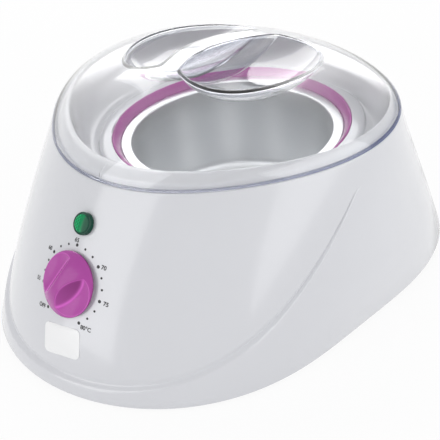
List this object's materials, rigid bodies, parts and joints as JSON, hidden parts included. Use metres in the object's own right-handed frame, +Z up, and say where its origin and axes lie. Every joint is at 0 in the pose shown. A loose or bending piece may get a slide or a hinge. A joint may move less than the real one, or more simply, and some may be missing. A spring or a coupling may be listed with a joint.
{
  "type": "paraffin wax warmer",
  "caption": "Table-top wax warmer: white moulded housing with a thermostat knob and pilot lamp on the sloping front, removable aluminium pot, and clear domed lid with finger scoops.",
  "frame": {"origin": "middle of the footprint, on the plane of the rubber feet", "axes": "+Z up, control panel towards -Y, mirror symmetric housing about X = 0"},
  "size_m": [0.2486, 0.3148, 0.1564],
  "materials": {
    "white_plastic": "glossy moulded polypropylene",
    "base_plastic": "fine-textured moulding",
    "foot_rubber": "matt",
    "zinc_steel": "zinc plated",
    "magenta_plastic": "glossy, mass coloured",
    "pot_aluminium": "spun, brushed inside",
    "clear_plastic": "clear, glossy",
    "well_aluminium": "drawn",
    "heater_silicone": "fabric-marked silicone",
    "strap_steel": "bright strip",
    "fuse_metal": "bright",
    "copper": "bright copper",
    "phenolic": "moulded",
    "shaft_steel": "turned",
    "spring_steel": "bright strip",
    "green_lens": "clear green, ribbed inside",
    "lamp_glass": "clear",
    "label_white": "smooth film",
    "block_plastic": "moulded",
    "gland_plastic": "moulded",
    "blue_insulation": "smooth",
    "brown_insulation": "smooth",
    "black_insulation": "smooth"
  },
  "bodies": {
    "housing": {"housing": "white_plastic", "base_plate": "base_plastic", "rubber_feet": "foot_rubber", "base_screws": "zinc_steel", "collar_ring": "magenta_plastic", "heater_well": "well_aluminium", "well_screws": "zinc_steel", "heater_band": "heater_silicone", "band_strap": "strap_steel", "strap_screw": "zinc_steel", "thermal_fuse": "fuse_metal", "fuse_clip": "strap_steel", "sensing_bulb": "copper", "bulb_clips": "strap_steel", "capillary_tube": "copper", "thermostat_body": "phenolic", "thermostat_screws": "zinc_steel", "lamp_lens": "green_lens", "neon_lamp": "lamp_glass", "lamp_clip": "spring_steel", "label_plate": "label_white", "terminal_block": "block_plastic", "cord_gland": "gland_plastic", "gland_nut": "gland_plastic", "neutral_lead": "blue_insulation", "fuse_lead": "brown_insulation", "switch_lead": "brown_insulation", "heater_lead": "black_insulation", "lamp_lead": "blue_insulation"},
    "pot": {"pot": "pot_aluminium"},
    "lid": {"lid": "clear_plastic"},
    "knob": {"knob": "magenta_plastic", "thermostat_shaft": "shaft_steel", "knob_spring": "spring_steel"}
  },
  "joints": [
    {"name": "knob_turn", "type": "hinge", "parent": "housing", "child": "knob", "pos_m": [0, -0.13036, 0.0608], "axis": [0, 0.8671, -0.4982], "range_deg": [0, 297]},
    {"name": "pot_lift", "type": "slide", "parent": "housing", "child": "pot", "axis": [0, 0, 1], "range_m": [0, 0.1]},
    {"name": "lid_lift", "type": "slide", "parent": "pot", "child": "lid", "axis": [0, 0, 1], "range_m": [0, 0.08]}
  ]
}
